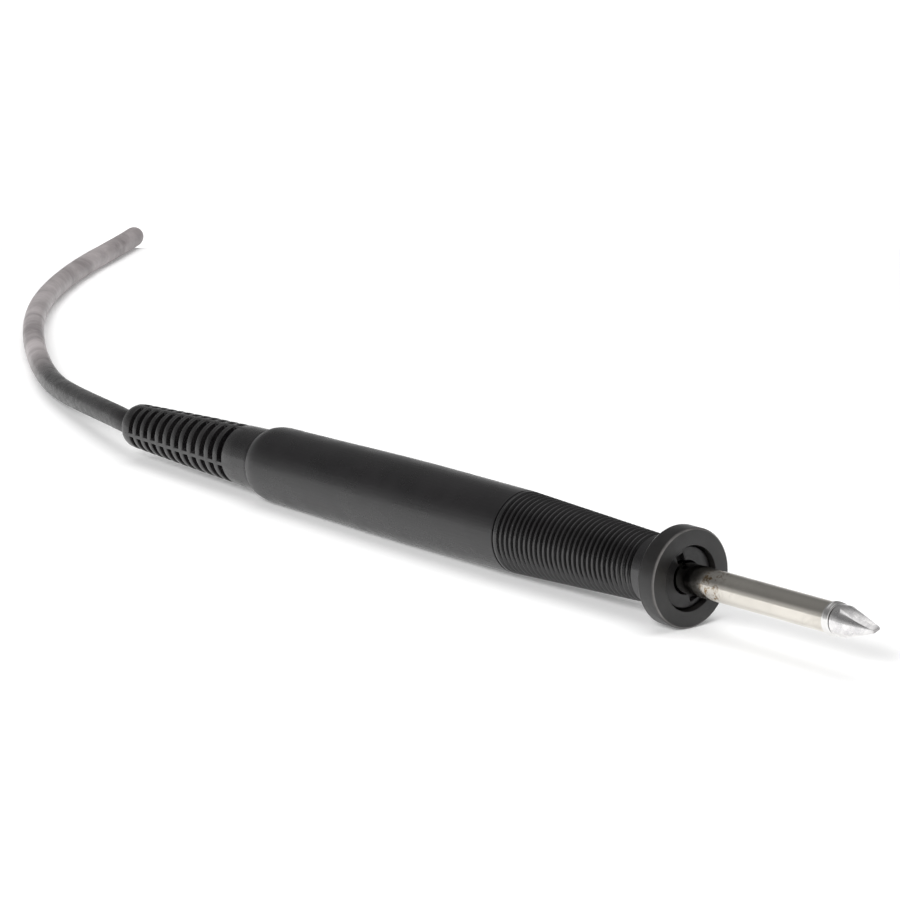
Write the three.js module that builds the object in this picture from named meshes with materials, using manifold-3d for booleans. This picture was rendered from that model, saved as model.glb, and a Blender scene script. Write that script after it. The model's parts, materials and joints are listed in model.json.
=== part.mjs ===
// A pencil-shaped wood burning tool with a chisel tip, a hand guard, a ribbed grip and its lead.
// Millimetres, +X along the pen towards the tip, +Z up, standing on z = 0.
import * as THREE from "three";
import { mergeVertices } from "three/addons/utils/BufferGeometryUtils.js";
import Module from "manifold-3d";

const wasm = await Module();
wasm.setup();

// ---------------------------------------------------------------- driving dimensions
const GAP = 0.3; // clearance between pieces that touch
const GUARD_RADIUS = 10.5;
const GUARD_LENGTH = 4.8;
const RECESS_RADIUS = 6.85;
const BARREL_RADIUS = 3.2;
const BARREL_WALL = 0.35;
const BARREL_END = 43.1; // front of the rolled bead
const TIP_END = 53.7;
const CONE_START = 45.4;
const BLADE_WIDTH = 1.45;
const BLADE_ROLL = THREE.MathUtils.degToRad(20); // the chisel is turned this far about the pen
const BLADE_SLOPE = Math.atan2(3.4, 10); // of each flat against the axis
const NUT_ROLL = THREE.MathUtils.degToRad(22); // its two spanner slots, from the top
const GRIP_REAR = -51.9;
const GRIP_FRONT = -7.8;
const GRIP_REAR_RADIUS = 8.88;
const GRIP_FRONT_RADIUS = 7.11;
const GROOVES = 28;
const FIRST_GROOVE = GRIP_REAR + 1.4;
const GROOVE_PITCH = 1.464;
const GROOVE_DEPTH = 0.55;
const CORE_RADIUS = 5.7; // handle core under the grip
const HANDLE_REAR = -139;
const SHOULDER_X = -134.8; // rear part of the handle that lies on the table
const SHOULDER_RADIUS = 8.5;
const RELIEF_REAR = -189.1;
const SLOT_ROWS = 12;
const SLOT_PITCH_REAR = 2.97;
const SLOT_PITCH_FRONT = 3.5;
const WEB_WIDTH = 1; // the ribs of the strain relief hang on four of these
const WEB_ROLL = THREE.MathUtils.degToRad(10);
const CORD_RADIUS = 2.75;
const CORD_BORE = CORD_RADIUS + GAP;
const WIRE_RADIUS = 0.5;
const WIRES = 5;

// the pen lies on the rear edge of its guard and on the shoulder of its handle
const GUARD_REST_X = -4.2;
const TILT = Math.atan2(GUARD_RADIUS - SHOULDER_RADIUS, GUARD_REST_X - SHOULDER_X);
const PEN_X = -0.5 * Math.cos(TILT) * (TIP_END + RELIEF_REAR);
const PEN_Z = GUARD_RADIUS * Math.cos(TILT) - GUARD_REST_X * Math.sin(TILT);

// the coil of the lead: lanes a diameter apart, two layers, held clear of the table by its ties
const TIE_THICKNESS = 1;
const TIE_WIDTH = 3.2;
const COIL_CENTRE = new THREE.Vector3(-373.65, 156.3, 0);
const COIL_LANES = [27, 32.5, 38];
const COIL_BASE = TIE_THICKNESS + GAP;
const COIL_INNER = COIL_LANES[0] - CORD_RADIUS;
const COIL_OUTER = COIL_LANES[2] + CORD_RADIUS;
const COIL_STEP = COIL_LANES[1] + CORD_RADIUS; // outside of the upper layer
const COIL_MIDDLE = COIL_BASE + 2 * CORD_RADIUS;
const COIL_TOP = COIL_MIDDLE + 2 * CORD_RADIUS;
const TAIL_ANGLE = THREE.MathUtils.degToRad(170); // where the lead leaves the coil
const TAIL_LENGTH = 52;
const CONNECTOR_START = 36; // along the tail
const SHELL_SHOULDER = 9.9; // the connector lies on this radius
const PINS = 5;

// the route of the lead from inside its strain relief to the coil, chosen by hand
const CORD_ROUTE = [
  [-110.25, 0, 7.81],
  [-115.8, 0, 7.74],
  [-121.4, 0, 7.67],
  [-126.5, 0.6, 7.54],
  [-135.45, 3.1, 7.1],
  [-145.45, 6.2, 6.4],
  [-156.45, 9.9, 5.5],
  [-168.45, 14.2, 4.5],
  [-180.45, 19.1, 3.6],
  [-193.45, 25.4, 3],
  [-208.45, 33.6, 2.75],
  [-223.45, 42.7, 2.75],
  [-238.45, 52.8, 2.75],
  [-252.45, 63.3, 2.75],
  [-265.45, 74.6, 2.75],
  [-277.45, 86.8, 2.75],
  [-288.45, 99.6, 2.75],
  [-298.45, 112.8, 2.75],
  [-307.45, 126, 2.75],
  [-316.45, 139.2, 2.8],
  [-325.45, 152.3, 3.1],
  [-334.05, 165, 3.6],
  [-342.55, 178.1, 4.05],
].map((p) => new THREE.Vector3(...p));

// ---------------------------------------------------------------- materials
const paint = (color, roughness, metalness) =>
  new THREE.MeshStandardMaterial({ color, roughness, metalness });
const LOOKS = {
  handle: paint(0x232324, 0.42, 0),
  grip: paint(0x1d1c1c, 0.62, 0),
  guard: paint(0x262627, 0.45, 0),
  relief: paint(0x201f20, 0.5, 0),
  cord: paint(0x3a3637, 0.5, 0),
  steel: paint(0xb9b6ae, 0.24, 1),
  tip: paint(0xd9d8d6, 0.18, 1),
  nut: paint(0x2a2a2b, 0.4, 0),
  spring: paint(0xa9abad, 0.3, 1),
  ceramic: paint(0xe6e1d6, 0.55, 0),
  sensor: paint(0x8f8a80, 0.35, 1),
  glassFibre: paint(0xd8d3c2, 0.85, 0),
  board: paint(0x2f5b3c, 0.6, 0),
  brass: paint(0xc9a24a, 0.3, 1),
  clamp: paint(0x303031, 0.55, 0),
  tie: paint(0x18181a, 0.6, 0),
  shell: paint(0xa7a8aa, 0.32, 1),
  insert: paint(0x1a1a1b, 0.5, 0),
};
const WIRE_COLOURS = [0xb2332b, 0x2f4f9e, 0xe8e6df, 0x2d2d2e, 0x4f8a3d];

// ---------------------------------------------------------------- shape helpers
// a body turned about the X axis from [x, radius] points; the outline closes on itself or on the axis
function turned(outline, sides) {
  const points = outline.map(([x, r]) => new THREE.Vector2(r, x));
  const onAxis = points[0].x === 0 && points.at(-1).x === 0;
  if (THREE.ShapeUtils.area(points) < 0) points.reverse();
  if (!onAxis) points.push(points[0].clone());
  return new THREE.LatheGeometry(points, sides).rotateZ(-Math.PI / 2);
}

const rod = (x0, x1, radius, sides) =>
  turned([[x0, 0], [x0, radius], [x1, radius], [x1, 0]], sides);

const tube = (x0, x1, inner, outer, sides) =>
  turned([[x0, inner], [x0, outer], [x1, outer], [x1, inner]], sides);

function block(x0, x1, y0, y1, z0, z1) {
  const box = new THREE.BoxGeometry(x1 - x0, y1 - y0, z1 - z0);
  return box.translate((x0 + x1) / 2, (y0 + y1) / 2, (z0 + z1) / 2);
}

// a round wire or lead along a smooth curve through the given points
function lead(points, radius, sides, steps) {
  const ring = Array.from({ length: sides }, (_, i) => {
    const a = (2 * Math.PI * i) / sides;
    return new THREE.Vector2(radius * Math.cos(a), radius * Math.sin(a));
  });
  return new THREE.ExtrudeGeometry(new THREE.Shape(ring), {
    steps,
    bevelEnabled: false,
    extrudePath: new THREE.CatmullRomCurve3(points, false, "centripetal"),
  });
}

function solid(geometry) {
  const g = geometry.clone();
  g.deleteAttribute("normal");
  g.deleteAttribute("uv");
  const merged = mergeVertices(g, 1e-4);
  const corners = merged.index.array;
  const triVerts = [];
  for (let i = 0; i < corners.length; i += 3) {
    const [a, b, c] = corners.subarray(i, i + 3);
    if (a !== b && b !== c && c !== a) triVerts.push(a, b, c);
  }
  return new wasm.Manifold(
    new wasm.Mesh({
      numProp: 3,
      vertProperties: merged.attributes.position.array,
      triVerts: new Uint32Array(triVerts),
    }),
  );
}

function shapeOf(manifold) {
  const mesh = manifold.getMesh();
  const geometry = new THREE.BufferGeometry();
  geometry.setAttribute("position", new THREE.BufferAttribute(mesh.vertProperties, 3));
  geometry.setIndex(new THREE.BufferAttribute(mesh.triVerts, 1));
  return geometry;
}

const join = (geometries) =>
  shapeOf(geometries.map(solid).reduce((all, next) => all.add(next)));

const cut = (geometry, tools) =>
  shapeOf(tools.map(solid).reduce((left, tool) => left.subtract(tool), solid(geometry)));

function place(group, name, geometry, look) {
  const mesh = new THREE.Mesh(geometry, look.clone());
  mesh.name = name;
  group.add(mesh);
  return mesh;
}

const around = (radius, angle) => [radius * Math.cos(angle), radius * Math.sin(angle)];

// ---------------------------------------------------------------- working end
function tip() {
  const body = turned(
    [
      [41.2, 0],
      [40.6, 1.75],
      [20, 1.75],
      [20, 2.55],
      [BARREL_END + GAP, 2.55],
      [BARREL_END + GAP, 3.25],
      [CONE_START, 3.25],
      [TIP_END, BLADE_WIDTH / 2],
      [TIP_END, 0],
    ],
    28,
  );
  const flats = [1, -1].map((side) => {
    const tool = block(-12, 12, -6, 6, 0, 8);
    tool.rotateY(BLADE_SLOPE).translate(TIP_END, 0, 0.2);
    if (side < 0) tool.rotateX(Math.PI);
    return tool.rotateX(BLADE_ROLL);
  });
  return cut(body, flats);
}

function barrelTube() {
  const inner = BARREL_RADIUS - BARREL_WALL;
  return turned(
    [
      [-6.1, inner],
      [-6.1, 5.3],
      [-5.5, 5.3],
      [-5.5, BARREL_RADIUS],
      [BARREL_END - 1.6, BARREL_RADIUS],
      [BARREL_END - 1.3, 3.45],
      [BARREL_END - 0.8, 3.54],
      [BARREL_END - 0.3, 3.45],
      [BARREL_END, BARREL_RADIUS],
      [BARREL_END, inner],
    ],
    28,
  );
}

function retainingNut() {
  const body = turned(
    [
      [-4.4, 3.55],
      [-4.4, 5.3],
      [-3.3, 5.3],
      [-3.3, 6.5],
      [-1.5, 6.5],
      [-1.3, 6.3],
      [-1.3, 3.55],
    ],
    28,
  );
  const slots = [0, Math.PI].map((half) =>
    block(-2.4, -1, -1, 1, 3, 5.4).rotateX(NUT_ROLL + half),
  );
  return cut(body, slots);
}

// three waves round the ring keep the barrel's flange pressed on its seat
function waveWasher() {
  const ring = tube(-5.1, -4.8, 3.6, 5.2, 24);
  const at = ring.attributes.position;
  for (let i = 0; i < at.count; i++) {
    const angle = Math.atan2(at.getZ(i), at.getY(i));
    at.setX(i, at.getX(i) + 0.1 * Math.cos(3 * angle));
  }
  return ring;
}

const heaterCore = () => rod(2.3, 39.4, 1.4, 20);

const sensorBead = () => rod(39.7, 40.3, 0.9, 12);

const heaterBase = () =>
  turned([[-20, 0], [-20, 3.3], [-7, 3.3], [-7, 2.5], [2, 2.5], [2, 0]], 24);

// ---------------------------------------------------------------- handle
function noseFlange() {
  return turned(
    [
      [0, RECESS_RADIUS],
      [0, GUARD_RADIUS - 0.35],
      [-0.35, GUARD_RADIUS],
      [GUARD_REST_X, GUARD_RADIUS],
      [-GUARD_LENGTH, GUARD_RADIUS - 0.35],
      [-5.1, 8.9],
      [-5.5, 7.8],
      [-6.2, 7.1],
      [-6.8, 6.9],
      [GRIP_FRONT + GAP, 7],
      [GRIP_FRONT + GAP, 4.4],
      [-24, 4.4],
      [-24, 3.6],
      [-6.4, 3.6],
      [-6.4, 5.6],
      [-3.6, 5.6],
      [-3.6, RECESS_RADIUS],
    ],
    36,
  );
}

const gripRadius = (x) =>
  THREE.MathUtils.mapLinear(x, GRIP_REAR, GRIP_FRONT, GRIP_REAR_RADIUS, GRIP_FRONT_RADIUS);

function gripSleeve() {
  const inner = CORE_RADIUS + GAP;
  const outline = [
    [GRIP_REAR, inner],
    [GRIP_REAR, GRIP_REAR_RADIUS],
  ];
  for (let i = 0; i < GROOVES; i++) {
    const valley = FIRST_GROOVE + i * GROOVE_PITCH;
    const crest = valley - GROOVE_PITCH / 2;
    outline.push([crest, gripRadius(crest)], [valley, gripRadius(valley) - GROOVE_DEPTH]);
  }
  outline.push([GRIP_FRONT, GRIP_FRONT_RADIUS], [GRIP_FRONT, inner]);
  return turned(outline, 20);
}

function handleShell() {
  return turned(
    [
      [HANDLE_REAR, 6.5],
      [HANDLE_REAR, 7.3],
      [-138.7, 7.5],
      [-138, 7.9],
      [-136.6, 8.3],
      [SHOULDER_X, SHOULDER_RADIUS],
      [-128, 8.57],
      [-118, 8.68],
      [-106, 8.86],
      [-96, 8.98],
      [-86, 9.04],
      [-74, 9],
      [-62, 8.93],
      [GRIP_REAR - GAP, GRIP_REAR_RADIUS],
      [GRIP_REAR - GAP, CORE_RADIUS],
      [GRIP_FRONT - 0.4, CORE_RADIUS],
      [GRIP_FRONT - 0.4, 4.7],
      [-53, 4.7],
      [-57.5, 6.9],
      [-128, 6.9],
      [-129, 6.5],
    ],
    36,
  );
}

function strainRelief() {
  const sleeve = turned(
    [
      [RELIEF_REAR, CORD_BORE],
      [RELIEF_REAR, 4.6],
      [RELIEF_REAR + 0.8, 5.1],
      [-180, 5.5],
      [-171, 5.9],
      [-162, 6.3],
      [-153, 6.58],
      [-145, 6.9],
      [HANDLE_REAR - GAP, 7.05],
      [HANDLE_REAR - GAP, 6.2],
      [-130, 6.2],
      [-130, CORD_BORE],
    ],
    16,
  );
  const slots = [];
  let x = RELIEF_REAR + 3.3;
  for (let i = 0; i < SLOT_ROWS; i++) {
    const pitch = THREE.MathUtils.lerp(SLOT_PITCH_REAR, SLOT_PITCH_FRONT, i / (SLOT_ROWS - 1));
    slots.push(tube(x, x + 0.5 * pitch, 2, 9, 16));
    x += pitch;
  }
  const webs = [0, Math.PI / 2].map((turn) =>
    block(RELIEF_REAR, HANDLE_REAR, -10, 10, -WEB_WIDTH / 2, WEB_WIDTH / 2).rotateX(
      turn + WEB_ROLL,
    ),
  );
  const windows = slots.map((slot) => cut(slot, webs));
  return cut(sleeve, windows);
}

// ---------------------------------------------------------------- inside the handle
const BOARD = { x0: -92, x1: -62, halfWidth: 5.5, z0: -1.8, z1: -0.6 };
const TERMINAL = { x0: -81, x1: -73, halfWidth: 0.65, z0: BOARD.z1 + GAP, height: 1.2, pitch: 2.1 };
const CLAMP = { x0: -125, x1: -119, radius: 6.5, screwY: 4.8 };
const STUB_FRONT = -118;
const STUB_REAR = -177.7;

const heatLiner = () => tube(-48, -24.3, 4, 4.4, 24);

const terminalBoard = () =>
  block(BOARD.x0, BOARD.x1, -BOARD.halfWidth, BOARD.halfWidth, BOARD.z0, BOARD.z1);

const terminalY = (i) => (i - (WIRES - 1) / 2) * TERMINAL.pitch;

function terminal(i) {
  const y = terminalY(i);
  const top = TERMINAL.z0 + TERMINAL.height;
  const y0 = y - TERMINAL.halfWidth;
  const y1 = y + TERMINAL.halfWidth;
  return block(TERMINAL.x0, TERMINAL.x1, y0, y1, TERMINAL.z0, top);
}

// where wire i sits in its bundle, so that the wires spread to the terminals without crossing
function bundlePoint(i, radius) {
  const angle = [180, 108, 252, 36, 324][i];
  return around(radius, THREE.MathUtils.degToRad(angle));
}

function heaterWire(i) {
  const [y, z] = bundlePoint(i, 1.9);
  const level = TERMINAL.z0 + TERMINAL.height / 2;
  return lead(
    [
      new THREE.Vector3(-20 - GAP, y, z),
      new THREE.Vector3(-32, y, z),
      new THREE.Vector3(-42, y, z),
      new THREE.Vector3(-51, (y + terminalY(i)) / 2, (z + level) / 2),
      new THREE.Vector3(-60, terminalY(i), level),
      new THREE.Vector3(TERMINAL.x1 + GAP, terminalY(i), level),
    ],
    WIRE_RADIUS,
    8,
    10,
  );
}

function cordWire(i) {
  const [y, z] = bundlePoint(i, 1.5);
  const level = TERMINAL.z0 + TERMINAL.height / 2;
  return lead(
    [
      new THREE.Vector3(STUB_FRONT + GAP, y, z),
      new THREE.Vector3(-112, y, z),
      new THREE.Vector3(-103, (y + terminalY(i)) / 2, (z + level) / 2),
      new THREE.Vector3(-94, terminalY(i), level),
      new THREE.Vector3(TERMINAL.x0 - GAP, terminalY(i), level),
    ],
    WIRE_RADIUS,
    8,
    9,
  );
}

const cordStub = () => rod(STUB_REAR, STUB_FRONT, CORD_RADIUS, 16);

// one half of the clamp that holds the lead: side 1 is the upper half, -1 the lower
function clampHalf(side) {
  const disc = tube(CLAMP.x0, CLAMP.x1, CORD_BORE, CLAMP.radius, 28);
  const otherHalf = block(-130, -110, -8, 8, -8, GAP / 2);
  if (side < 0) otherHalf.rotateX(Math.PI);
  const middle = (CLAMP.x0 + CLAMP.x1) / 2;
  const tools = [otherHalf];
  for (const y of [-CLAMP.screwY, CLAMP.screwY]) {
    tools.push(new THREE.CylinderGeometry(0.85, 0.85, 20, 12).rotateX(Math.PI / 2));
    tools.at(-1).translate(middle, y, 0);
    if (side < 0) continue;
    tools.push(new THREE.CylinderGeometry(1.55, 1.55, 6, 16).rotateX(Math.PI / 2));
    tools.at(-1).translate(middle, y, 2.2 + 3);
  }
  return cut(disc, tools);
}

function clampScrew(y) {
  const shaft = new THREE.CylinderGeometry(0.55, 0.55, 5.5, 12).rotateX(Math.PI / 2);
  const head = new THREE.CylinderGeometry(1.2, 1.2, 0.9, 16).rotateX(Math.PI / 2);
  const slot = block(-1.5, 1.5, -0.2, 0.2, 3, 4);
  shaft.translate(0, 0, 0.1);
  head.translate(0, 0, 2.95);
  const body = join([shaft, head]);
  return cut(body, [slot]).translate((CLAMP.x0 + CLAMP.x1) / 2, y, 0);
}

// ---------------------------------------------------------------- the lead
// the outer shape of the coiled turns, grown by a clearance when it is used as a cutter
function coilSolid(clearance) {
  const c = clearance;
  const outline = [
    [COIL_BASE - c, COIL_INNER - c],
    [COIL_BASE - c, COIL_OUTER + c],
    [COIL_MIDDLE + c, COIL_OUTER + c],
    [COIL_MIDDLE + c, COIL_STEP + c],
    [COIL_TOP + c, COIL_STEP + c],
    [COIL_TOP + c, COIL_INNER - c],
  ];
  const ring = turned(outline, 56).rotateY(-Math.PI / 2);
  return ring.translate(COIL_CENTRE.x, COIL_CENTRE.y, 0);
}

const cordTube = () => cut(lead(CORD_ROUTE, CORD_RADIUS, 10, 26), [coilSolid(GAP)]);

const tailStart = () => {
  const [x, y] = around(COIL_LANES[1], TAIL_ANGLE);
  return new THREE.Vector3(COIL_CENTRE.x + x, COIL_CENTRE.y + y, SHELL_SHOULDER);
};

const tailDirection = new THREE.Vector3(-Math.sin(TAIL_ANGLE), Math.cos(TAIL_ANGLE), 0);

function cordTail() {
  const start = tailStart();
  const points = [0, 0.25, 0.5, 0.75, 1].map((share) =>
    start.clone().addScaledVector(tailDirection, share * TAIL_LENGTH),
  );
  return cut(lead(points, CORD_RADIUS, 10, 5), [coilSolid(GAP)]);
}

// a flat strap round the section of the coil, at an angle round it
function cordTie(angle) {
  const frame = (grow) => {
    const shape = new THREE.Shape();
    shape.moveTo(COIL_INNER - GAP - grow, COIL_BASE - GAP - grow);
    shape.lineTo(COIL_OUTER + GAP + grow, COIL_BASE - GAP - grow);
    shape.lineTo(COIL_OUTER + GAP + grow, COIL_MIDDLE + GAP + grow);
    shape.lineTo(COIL_STEP + GAP + grow, COIL_TOP + GAP + grow);
    shape.lineTo(COIL_INNER - GAP - grow, COIL_TOP + GAP + grow);
    return shape;
  };
  const strap = frame(TIE_THICKNESS);
  strap.holes.push(frame(0));
  const body = new THREE.ExtrudeGeometry(strap, { depth: TIE_WIDTH, bevelEnabled: false });
  body.translate(0, 0, -TIE_WIDTH / 2).rotateX(Math.PI / 2).rotateZ(angle);
  return body.translate(COIL_CENTRE.x, COIL_CENTRE.y, 0);
}

// ---------------------------------------------------------------- connector, +X towards its pins
const connBoot = () =>
  turned([[0, CORD_BORE], [0, 3.7], [15, 5], [21, 5], [21, CORD_BORE]], 24);

const connBackNut = () =>
  turned([[15.6, 5.3], [15.6, 6.4], [17, 7.4], [27.4, 7.4], [27.4, 5.3]], 12);

function connShell() {
  return turned(
    [
      [27.7, 4],
      [27.7, 7.4],
      [29.5, 7.6],
      [29.5, SHELL_SHOULDER],
      [33, SHELL_SHOULDER],
      [34, 8],
      [52, 8],
      [52, 6.9],
      [40, 6.9],
      [40, 5.2],
      [30, 5.2],
      [30, 4],
    ],
    24,
  );
}

function connRing() {
  const ring = turned(
    [
      [34.5, 8.3],
      [34.5, 9],
      [35.5, 9.5],
      [47, 9.5],
      [48, 9.1],
      [48, 8.3],
    ],
    24,
  );
  const grooves = Array.from({ length: 12 }, (_, i) =>
    block(36, 46.5, -0.35, 0.35, 9.1, 12).rotateX((i * Math.PI) / 6),
  );
  return cut(ring, grooves);
}

const pinPlace = (i) => around(3.6, Math.PI / 2 + (i * 2 * Math.PI) / (PINS + 1));

function connInsert() {
  const disc = rod(40 + GAP, 45, 6.6, 28);
  const holes = Array.from({ length: PINS }, (_, i) => {
    const [y, z] = pinPlace(i);
    return rod(38, 47, 1.1, 12).translate(0, y, z);
  });
  return cut(disc, holes);
}

function connPin(i) {
  const [y, z] = pinPlace(i);
  const pin = turned([[38.5, 0], [38.5, 0.8], [50, 0.8], [50.6, 0.4], [50.6, 0]], 10);
  return pin.translate(0, y, z);
}

// ---------------------------------------------------------------- assembly
const pen = new THREE.Group();
pen.position.set(PEN_X, 0, PEN_Z);
pen.rotation.y = -TILT;

place(pen, "tip", tip(), LOOKS.tip);
place(pen, "barrel_tube", barrelTube(), LOOKS.steel);
place(pen, "retaining_nut", retainingNut(), LOOKS.nut);
place(pen, "wave_washer", waveWasher(), LOOKS.spring);
place(pen, "heater_core", heaterCore(), LOOKS.ceramic);
place(pen, "heater_base", heaterBase(), LOOKS.ceramic);
place(pen, "sensor_bead", sensorBead(), LOOKS.sensor);
place(pen, "nose_flange", noseFlange(), LOOKS.guard);
place(pen, "grip_sleeve", gripSleeve(), LOOKS.grip);
place(pen, "handle_shell", handleShell(), LOOKS.handle);
place(pen, "heat_liner", heatLiner(), LOOKS.glassFibre);
place(pen, "terminal_board", terminalBoard(), LOOKS.board);
for (let i = 0; i < WIRES; i++) {
  place(pen, `terminal_${i + 1}`, terminal(i), LOOKS.brass);
  place(pen, `heater_wire_${i + 1}`, heaterWire(i), paint(WIRE_COLOURS[i], 0.6, 0));
  place(pen, `cord_wire_${i + 1}`, cordWire(i), paint(WIRE_COLOURS[i], 0.6, 0));
}
place(pen, "clamp_upper", clampHalf(1), LOOKS.clamp);
place(pen, "clamp_lower", clampHalf(-1), LOOKS.clamp);
place(pen, "clamp_screw_1", clampScrew(CLAMP.screwY), LOOKS.steel);
place(pen, "clamp_screw_2", clampScrew(-CLAMP.screwY), LOOKS.steel);
place(pen, "strain_relief", strainRelief(), LOOKS.relief);
place(pen, "cord_stub", cordStub(), LOOKS.cord);

const connector = new THREE.Group();
connector.position.copy(tailStart()).addScaledVector(tailDirection, CONNECTOR_START);
connector.rotation.z = Math.atan2(tailDirection.y, tailDirection.x);

place(connector, "conn_boot", connBoot(), LOOKS.relief);
place(connector, "conn_back_nut", connBackNut(), LOOKS.shell);
place(connector, "conn_shell", connShell(), LOOKS.shell);
place(connector, "conn_ring", connRing(), LOOKS.shell);
place(connector, "conn_insert", connInsert(), LOOKS.insert);
for (let i = 0; i < PINS; i++) place(connector, `conn_pin_${i + 1}`, connPin(i), LOOKS.brass);

const tool = new THREE.Group();
tool.add(pen, connector);
place(tool, "cord", cordTube(), LOOKS.cord);
place(tool, "cord_coil", coilSolid(0), LOOKS.cord);
place(tool, "cord_tail", cordTail(), LOOKS.cord);
place(tool, "cord_tie_1", cordTie(THREE.MathUtils.degToRad(80)), LOOKS.tie);
place(tool, "cord_tie_2", cordTie(THREE.MathUtils.degToRad(260)), LOOKS.tie);

export default tool;
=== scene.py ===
import json
import math

import bmesh
import bpy
from mathutils import Matrix, Vector, noise

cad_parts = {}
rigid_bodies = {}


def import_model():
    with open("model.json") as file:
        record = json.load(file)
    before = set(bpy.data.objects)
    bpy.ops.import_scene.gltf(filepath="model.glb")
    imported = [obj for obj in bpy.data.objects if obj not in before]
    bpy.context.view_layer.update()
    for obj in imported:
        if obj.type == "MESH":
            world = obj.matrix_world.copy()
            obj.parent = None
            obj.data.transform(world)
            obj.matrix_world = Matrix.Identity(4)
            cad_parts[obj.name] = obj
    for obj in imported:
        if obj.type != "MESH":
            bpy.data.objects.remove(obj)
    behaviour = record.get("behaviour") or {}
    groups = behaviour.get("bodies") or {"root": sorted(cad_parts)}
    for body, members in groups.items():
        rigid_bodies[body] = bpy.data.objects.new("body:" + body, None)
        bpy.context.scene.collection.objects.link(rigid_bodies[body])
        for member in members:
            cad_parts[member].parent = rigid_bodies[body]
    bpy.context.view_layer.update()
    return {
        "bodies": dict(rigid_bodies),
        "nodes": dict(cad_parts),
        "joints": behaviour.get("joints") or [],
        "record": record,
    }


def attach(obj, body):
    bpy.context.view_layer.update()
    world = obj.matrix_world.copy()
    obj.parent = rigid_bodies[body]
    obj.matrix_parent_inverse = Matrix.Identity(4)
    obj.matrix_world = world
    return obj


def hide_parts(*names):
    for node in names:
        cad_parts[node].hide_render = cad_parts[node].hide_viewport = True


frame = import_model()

# Sizes are in millimetres along the pen from the guard's front, or in metres where the lead lies.
MM = 0.001
BARREL_FRONT = 43.1
TIP_END = 53.7
RELIEF_REAR = -189.1
HANDLE_REAR = -139.0
GRIP_REAR = -51.9
GRIP_FRONT = -7.8
CORD_RADIUS = 2.75
CORD_BORE = 3.05

JOINTS = {j["name"]: j for j in frame["joints"]}


def frame_along(axis, origin):
    """A matrix with its X axis along a direction and its Y axis level."""
    x = Vector(axis).normalized()
    y = Vector((0, 0, 1)).cross(x).normalized()
    z = x.cross(y)
    turn = Matrix((x, y, z)).transposed().to_4x4()
    return Matrix.Translation(origin) @ turn


NUT_AT = -3.0  # the nut's joint sits this far along the pen
RING_AT = 41.0  # and the coupling ring's this far along the connector
PEN_AXIS = Vector(JOINTS["nut_turn"]["axis"]).normalized()
PEN = frame_along(PEN_AXIS, Vector(JOINTS["nut_turn"]["pos_m"]) - PEN_AXIS * NUT_AT * MM)
PLUG_AXIS = Vector(JOINTS["ring_turn"]["axis"]).normalized()
PLUG = frame_along(PLUG_AXIS, Vector(JOINTS["ring_turn"]["pos_m"]) - PLUG_AXIS * RING_AT * MM)
WORLD = Matrix.Identity(4)


# ------------------------------------------------------------------ camera
CAMERA_PLACE = (0.78835, -0.66317, 0.27724)
CAMERA_DOWN = 13.778
CAMERA_HEADING = 50.238
LENS = 200
VIEW_END = 1.394  # the camera sees nothing further, so the lead's coil and plug don't show in it


def make_camera():
    data = bpy.data.cameras.new("camera")
    data.sensor_width = 36
    data.lens = LENS
    data.clip_start = 0.05
    data.clip_end = VIEW_END
    camera = bpy.data.objects.new("camera", data)
    camera.location = CAMERA_PLACE
    camera.rotation_euler = (math.radians(90 - CAMERA_DOWN), 0, math.radians(CAMERA_HEADING))
    bpy.context.scene.collection.objects.link(camera)
    bpy.context.scene.camera = camera


# ------------------------------------------------------------------ mesh helpers
def spline(points, steps):
    """A smooth centripetal curve through the points, with steps to each stretch."""
    points = [Vector(p) for p in points]
    ends = [2 * points[0] - points[1], 2 * points[-1] - points[-2]]
    all_points = [ends[0], *points, ends[1]]
    made = []
    for p0, p1, p2, p3 in zip(all_points, all_points[1:], all_points[2:], all_points[3:]):
        t1 = (p1 - p0).length ** 0.5
        t2 = t1 + (p2 - p1).length ** 0.5
        t3 = t2 + (p3 - p2).length ** 0.5
        for i in range(steps):
            t = t1 + (t2 - t1) * i / steps
            a1 = p0.lerp(p1, t / t1)
            a2 = p1.lerp(p2, (t - t1) / (t2 - t1))
            a3 = p2.lerp(p3, (t - t2) / (t3 - t2))
            b1 = a1.lerp(a2, t / t2)
            b2 = a2.lerp(a3, (t - t1) / (t3 - t1))
            made.append(b1.lerp(b2, (t - t1) / (t2 - t1)))
    made.append(points[-1])
    return made


def rounded(outline, steps=4):
    """Rounds each corner of a closed outline of (x, radius, fillet) points, in millimetres."""
    made = []
    count = len(outline)
    for i, (x, r, fillet) in enumerate(outline):
        here = Vector((x, r))
        if not fillet:
            made.append(here)
            continue
        before = Vector(outline[i - 1][:2]) - here
        after = Vector(outline[(i + 1) % count][:2]) - here
        half = before.angle(after) / 2
        reach = min(fillet / math.tan(half), 0.49 * before.length, 0.49 * after.length)
        start = here + before.normalized() * reach
        end = here + after.normalized() * reach
        for k in range(steps + 1):
            t = k / steps
            made.append(start * (1 - t) ** 2 + here * 2 * t * (1 - t) + end * t * t)
    return [(p.x, p.y) for p in made]


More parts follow.
